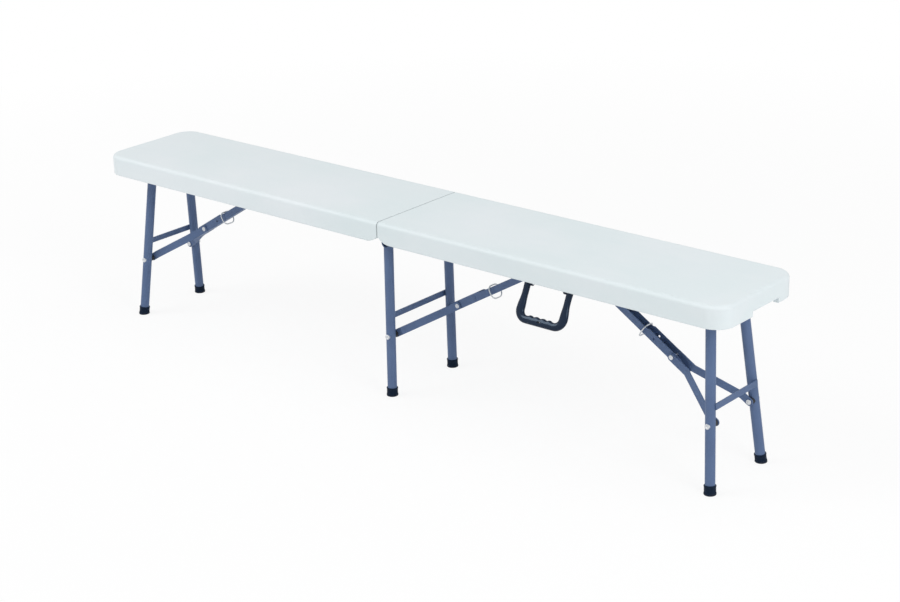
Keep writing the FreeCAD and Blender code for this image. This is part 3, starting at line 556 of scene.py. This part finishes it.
# Where the legs of each frame meet the floor, and how far out they are at the pivot.
FOOT_X = {"right": 0.867, "left": -0.867, "middle": 0.0}
FOOT_Y = {"right": 0.098, "left": 0.098, "middle": 0.1081}
TOP_Y = {"right": 0.0573, "left": 0.0573, "middle": 0.1023}
CAP_HEIGHT = 20 * MM
CAP_RADIUS = TUBE_RADIUS + 2.3 * MM
CAP_LIP = 0.9 * MM
CAP_FLARE = 0.3 * MM
CAP_WAIST = 0.5 * MM
CAP_BELOW_FLOOR = 6 * MM
CAP_SOCKET_FLOOR = 6 * MM
CAP_SOCKET_RADIUS = TUBE_RADIUS + 0.05 * MM
SOLE_HEIGHT = 0.02 * MM


def cap_profile():
    """The cap's section along the leg, with a stub under the floor that is cut off later."""
    lip = arc((CAP_RADIUS - CAP_LIP, CAP_HEIGHT - CAP_LIP), CAP_LIP, 0, 90, 4)
    return ([(0, -CAP_BELOW_FLOOR), (CAP_RADIUS + CAP_FLARE, -CAP_BELOW_FLOOR),
             (CAP_RADIUS + CAP_FLARE, 3.2 * MM), (CAP_RADIUS - CAP_WAIST, 6.2 * MM),
             (CAP_RADIUS - CAP_WAIST, 15.6 * MM), (CAP_RADIUS, 17 * MM)]
            + lip
            + [(CAP_SOCKET_RADIUS + 0.1 * MM, CAP_HEIGHT), (CAP_SOCKET_RADIUS, 18.6 * MM),
               (CAP_SOCKET_RADIUS, CAP_SOCKET_FLOOR), (0, CAP_SOCKET_FLOOR)])


def foot_caps(name):
    """The two caps of one frame, round the lower ends of its legs."""
    shape = bmesh.new()
    pivot = joint_place[f"{name}_leg_fold"]
    for side in (-1, 1):
        foot = Vector((FOOT_X[name], side * FOOT_Y[name], 0))
        top = Vector((pivot.x, side * TOP_Y[name], pivot.z))
        cap = turned(shape, cap_profile(), along(foot, (top - foot).normalized()), steps=48)
        geometry = cap + list({edge for vert in cap for edge in vert.link_edges})
        geometry += list({face for vert in cap for face in vert.link_faces})
        cutting = bmesh.ops.bisect_plane(shape, geom=geometry, plane_co=UP * SOLE_HEIGHT,
                                         plane_no=-UP, clear_outer=True, dist=1e-7)
        rim = [edge for edge in cutting["geom_cut"] if isinstance(edge, bmesh.types.BMEdge)]
        sole = bmesh.ops.contextual_create(shape, geom=rim)["faces"]
        bmesh.ops.recalc_face_normals(shape, faces=shape.faces)
        bevelled(shape, list({edge for face in sole for edge in face.edges}), 1.1 * MM,
                 segments=4)
        for vert in shape.verts:
            vert.tag = True
    piece(f"{name}_foot_cap_pair", shape, f"{name}_legs", "cap_plastic",
          f"{name}_foot_caps")


# Screws: pan heads with a cross recess, and their shanks

SCREW_HEAD_RADIUS = 4 * MM
SCREW_HEAD_RISE = 2.3 * MM
SCREW_CROWN = 1.5 * MM
SCREW_RADIUS = 1.95 * MM
SCREW_TO_HEAD = 2.4 * MM
CROSS_SIZE = (4.2 * MM, 0.95 * MM, 2.4 * MM)
TURN_PER_SCREW = 2.4


def pan_screw():
    """One screw standing on its shank at the origin, its head below."""
    shape = bmesh.new()
    crown = arc((SCREW_HEAD_RADIUS - SCREW_CROWN, SCREW_CROWN - SCREW_HEAD_RISE),
                SCREW_CROWN, -80, 0, 6)
    profile = ([(0, -SCREW_HEAD_RISE), (2 * MM, -SCREW_HEAD_RISE)] + crown
               + [(SCREW_HEAD_RADIUS, 0), (SCREW_RADIUS, 0), (SCREW_RADIUS, 9 * MM),
                  (0, 10.5 * MM)])
    turned(shape, profile, Matrix.Identity(4), steps=24)
    cross = bmesh.new()
    for turn in (0, pi / 2):
        place = Matrix.Rotation(turn, 4, "Z") @ Matrix.Translation(-UP * SCREW_HEAD_RISE)
        bmesh.ops.create_cube(cross, size=1, matrix=slab(place, *CROSS_SIZE))
    mesh = bpy.data.meshes.new("screw")
    finished = carved(shape, cross)
    finished.to_mesh(mesh)
    finished.free()
    return mesh


def screws(node, screw):
    """All screws of one node, each at its own place and turned a little differently."""
    shape = bmesh.new()
    for number, (low, high) in enumerate(islands(node)):
        before = set(shape.verts)
        shape.from_mesh(screw)
        fresh = [vert for vert in shape.verts if vert not in before]
        place = Vector(((low.x + high.x) / 2, (low.y + high.y) / 2, low.z + SCREW_TO_HEAD))
        turn = Matrix.Rotation(number * TURN_PER_SCREW, 4, "Z")
        bmesh.ops.transform(shape, matrix=Matrix.Translation(place) @ turn, verts=fresh)
    piece(f"{node}_crossed", shape, node_body[node], "zinc_steel", node)


# Carrying handle: a swept U with wide lower corners and a ridged grip

HANDLE_TILT = radians(25.7)
ARM_X = 56 * MM
ARM_WIDTH = 14.6 * MM
ARM_WAIST = 0.9 * MM
CORNER_X = 57 * MM
CORNER_WIDTH = 20 * MM
BEND = 20 * MM
GRIP_DROP = 78.6 * MM
GRIP_WIDTH = 17.4 * MM
THICK = 12 * MM
SECTION_STEPS = 32
SQUARENESS = 0.76
RIDGE_PITCH = 17 * MM
RIDGES_HALF = 34 * MM
RIDGE_RISE = 2.6 * MM
SLOT_DROP = 77.5 * MM
SLOT_SIZE = (9 * MM, 3 * THICK, 3.5 * MM)
# Share of the way from the pin's top to its middle, and how full the section is there.
TOP_ROUNDING = ((0, 0.55), (0.25, 0.86), (0.6, 0.99))
ARM_STEPS = 10
BEND_STEPS = 10
GRIP_STEPS = 18


def eased_share(share):
    """0 to 1 with a gentle start and end."""
    return share * share * (3 - 2 * share)


def handle_stations():
    """Centre, turn, width and fullness along half of the handle, from its pin to the middle."""
    stations = [(Vector((ARM_X, 0, 6 * MM - 6.5 * MM * share)), 0.0,
                 ARM_WIDTH * (0.9 + 0.1 * fullness), fullness)
                for share, fullness in TOP_ROUNDING]
    for step in range(1, ARM_STEPS + 1):
        share = step / ARM_STEPS
        waist = -ARM_WAIST * sin(pi * min(1, share * 1.25))
        flare = max(0.0, share - 0.45) / 0.55
        x = ARM_X + (CORNER_X - ARM_X) * share * share + waist * 0.5
        width = ARM_WIDTH + (CORNER_WIDTH - ARM_WIDTH) * eased_share(flare) + waist
        stations.append((Vector((x, 0, -(GRIP_DROP - BEND) * share)), 0.0, width, 1.0))
    centre = Vector((CORNER_X - BEND, 0, -(GRIP_DROP - BEND)))
    for step in range(1, BEND_STEPS + 1):
        share = step / BEND_STEPS
        angle = pi / 2 * share
        point = centre + Vector((BEND * cos(angle), 0, -BEND * sin(angle)))
        width = CORNER_WIDTH + (GRIP_WIDTH - CORNER_WIDTH) * eased_share(share)
        stations.append((point, angle, width, 1.0))
    for step in range(1, GRIP_STEPS + 1):
        x = (CORNER_X - BEND) * (1 - step / GRIP_STEPS)
        stations.append((Vector((x, 0, -GRIP_DROP)), pi / 2, GRIP_WIDTH, 1.0))
    return stations


def rounded_ring(shape):
    """A ring of points between a circle and a square, in the XY plane."""
    ring = bmesh.ops.create_circle(shape, segments=SECTION_STEPS, radius=1)["verts"]
    for vert in ring:
        x, y = vert.co.x, vert.co.y
        vert.co.x = copysign(abs(x) ** SQUARENESS, x)
        vert.co.y = copysign(abs(y) ** SQUARENESS, y)
    return ring


def station_matrix(point, angle, width, thick):
    """Places a unit ring square to the handle's line."""
    turn = Matrix.Rotation(pi + angle, 4, "Y")
    return slab(Matrix.Translation(point) @ turn, width / 2, thick / 2, 1)


def ridge(x):
    """How far the grip's upper side stands up between the fingers."""
    if abs(x) > RIDGES_HALF:
        return 0.0
    wave = 0.5 + 0.5 * cos(2 * pi * (x / RIDGE_PITCH + 0.5))
    fade = min(1.0, (RIDGES_HALF - abs(x)) / (0.4 * RIDGE_PITCH))
    return RIDGE_RISE * fade * wave ** 0.6


def swept_handle():
    """The U without its slot, hanging straight down from the pins."""
    half = handle_stations()
    other = [(Vector((-point.x, 0, point.z)), pi - angle, width, fullness)
             for point, angle, width, fullness in reversed(half[:-1])]
    shape = bmesh.new()
    ring = rounded_ring(shape)
    edges = list({edge for vert in ring for edge in vert.link_edges})
    bmesh.ops.contextual_create(shape, geom=edges)
    last = None
    for point, angle, width, fullness in half + other:
        place = station_matrix(point, angle, width, THICK * fullness)
        if last is None:
            bmesh.ops.transform(shape, matrix=place, verts=ring)
        else:
            grown = bmesh.ops.extrude_edge_only(shape, edges=edges)["geom"]
            ring = [part for part in grown if isinstance(part, bmesh.types.BMVert)]
            edges = [part for part in grown if isinstance(part, bmesh.types.BMEdge)]
            bmesh.ops.transform(shape, matrix=place @ last.inverted(), verts=ring)
        last = place
    bmesh.ops.contextual_create(shape, geom=edges)
    bmesh.ops.recalc_face_normals(shape, faces=shape.faces)
    for vert in shape.verts:
        above = vert.co.z + GRIP_DROP
        if abs(vert.co.x) < CORNER_X - BEND and above > 0:
            vert.co.z += ridge(vert.co.x) * (above / (GRIP_WIDTH / 2)) ** 1.5
    return shape


def carrying_handle():
    """The whole handle, with the slot in its grip, tilted out from under the rim."""
    slot = bmesh.new()
    bmesh.ops.create_cube(slot, size=1,
                          matrix=slab(Matrix.Translation(-UP * SLOT_DROP), *SLOT_SIZE))
    corners = [edge for edge in slot.edges
               if abs((edge.verts[0].co - edge.verts[1].co).y) > THICK]
    bevelled(slot, corners, 1.7 * MM, segments=4)
    shape = carved(swept_handle(), slot)
    tilt = Matrix.Rotation(-HANDLE_TILT, 4, "X")
    bmesh.ops.transform(shape, verts=shape.verts,
                        matrix=Matrix.Translation(joint_place["handle_swing"]) @ tilt)
    piece("moulded_handle", shape, "carry_handle", "handle_plastic", "handle")


for frame_name in FRAMES:
    leg_rivets(frame_name)
    knee_rivets(frame_name)
    spacer_discs(frame_name)
    foot_caps(frame_name)
pressed_square()
screw_mesh = pan_screw()
for screw_node in sorted(node for node in frame["nodes"] if node.endswith("_screws")):
    screws(screw_node, screw_mesh)
carrying_handle()


# Camera, at the photograph's angle

PICTURE_WIDTH = 900
FOCAL_PIXELS = 2032.9
SENSOR_WIDTH = 36
AZIMUTH, ELEVATION, ROLL = radians(40.753), radians(20.834), radians(-1.573)
DISTANCE = 4.5834
TARGET = Vector((0.1331, -0.0498, 0.2449))


def camera():
    """The camera, turned to its target and then rolled a little."""
    data = bpy.data.cameras.new("camera")
    data.sensor_width = SENSOR_WIDTH
    data.lens = FOCAL_PIXELS / PICTURE_WIDTH * SENSOR_WIDTH
    back = Vector((sin(AZIMUTH) * cos(ELEVATION), -cos(AZIMUTH) * cos(ELEVATION),
                   sin(ELEVATION)))
    right = (-back).cross(UP).normalized()
    level = Matrix((right, right.cross(-back), back)).transposed().to_4x4()
    item = bpy.data.objects.new("camera", data)
    item.matrix_world = (Matrix.Translation(TARGET + back * DISTANCE) @ level
                         @ Matrix.Rotation(ROLL, 4, "Z"))
    scene.collection.objects.link(item)
    scene.camera = item


# Studio: a pale floor, three soft lamps and a pale surround

WHITE = (1, 1, 1, 1)
FLOOR_HALF = 30
FLOOR_GLOW_NEAR = 0.86
FLOOR_GLOW_FAR = 1.0
NEAR_UP_TO, FAR_FROM = 1.1, 3.2
SURROUND_LIGHT = 0.5


def soft_lamp(name, place, aim, size, power):
    """A square soft box that looks at a point."""
    data = bpy.data.lights.new(name, "AREA")
    data.size = size
    data.energy = power
    item = bpy.data.objects.new(name, data)
    item.location = place
    item.rotation_mode = "QUATERNION"
    item.rotation_quaternion = (Vector(aim) - Vector(place)).to_track_quat("-Z", "Y")
    scene.collection.objects.link(item)


def studio_floor():
    """A wide floor, white where the camera sees it, that still takes the bench's shadow."""
    shape = bmesh.new()
    bmesh.ops.create_grid(shape, x_segments=1, y_segments=1, size=FLOOR_HALF)
    mesh = bpy.data.meshes.new("floor")
    shape.to_mesh(mesh)
    shape.free()
    floor = bpy.data.objects.new("floor", mesh)
    scene.collection.objects.link(floor)
    made = Finish("floor", Roughness=0.9, Specular_IOR_Level=0.1)
    made.colour(made.mix(made.noise(scale=40), (0.955, 0.96, 0.965), (0.975, 0.975, 0.975)))
    glow = made.node("ShaderNodeEmission", {}, {"Color": WHITE, "Strength": 1.0})
    seen = made.node("ShaderNodeLightPath", {}, {}, "Is Camera Ray")
    distance = made.node("ShaderNodeVectorMath", {"operation": "LENGTH"}, {0: made.place()},
                         "Value")
    far = made.band(distance, NEAR_UP_TO, FAR_FROM)
    share = seen * (FLOOR_GLOW_NEAR + (FLOOR_GLOW_FAR - FLOOR_GLOW_NEAR) * far)
    both = made.node("ShaderNodeMixShader", {},
                     {0: share, 1: Wire(made, made.shader.outputs[0]), 2: glow})
    made.join(both, made.tree.nodes["Material Output"], "Surface")
    mesh.materials.append(made.material)


def surround():
    """Soft white light from all sides, seen as white by the camera and in reflections."""
    scene.world = bpy.data.worlds.new("surround")
    scene.world.use_nodes = True
    made = Nodes(scene.world.node_tree)
    camera_ray, glossy_ray, clear_ray = (
        made.node("ShaderNodeLightPath", {}, {}, f"Is {kind} Ray")
        for kind in ("Camera", "Glossy", "Transmission"))
    strength = made.node("ShaderNodeMapRange", {},
                         {"Value": camera_ray.at_least(glossy_ray).at_least(clear_ray),
                          "To Min": SURROUND_LIGHT, "To Max": 1.0})
    sky = made.tree.nodes["Background"]
    sky.inputs["Color"].default_value = WHITE
    made.join(strength, sky, "Strength")


camera()
soft_lamp("front_lamp", place=(-2.6, -2.6, 3.4), aim=(0, 0, 0.3), size=2.4, power=82)
soft_lamp("end_lamp", place=(3.9, -1.05, 2.4), aim=(0.2, 0, 0.3), size=1.8, power=62)
soft_lamp("top_lamp", place=(0.9, 0.4, 3.4), aim=(0.4, 0, 0.3), size=2.0, power=14)
studio_floor()
surround()
scene.view_settings.view_transform = "Standard"
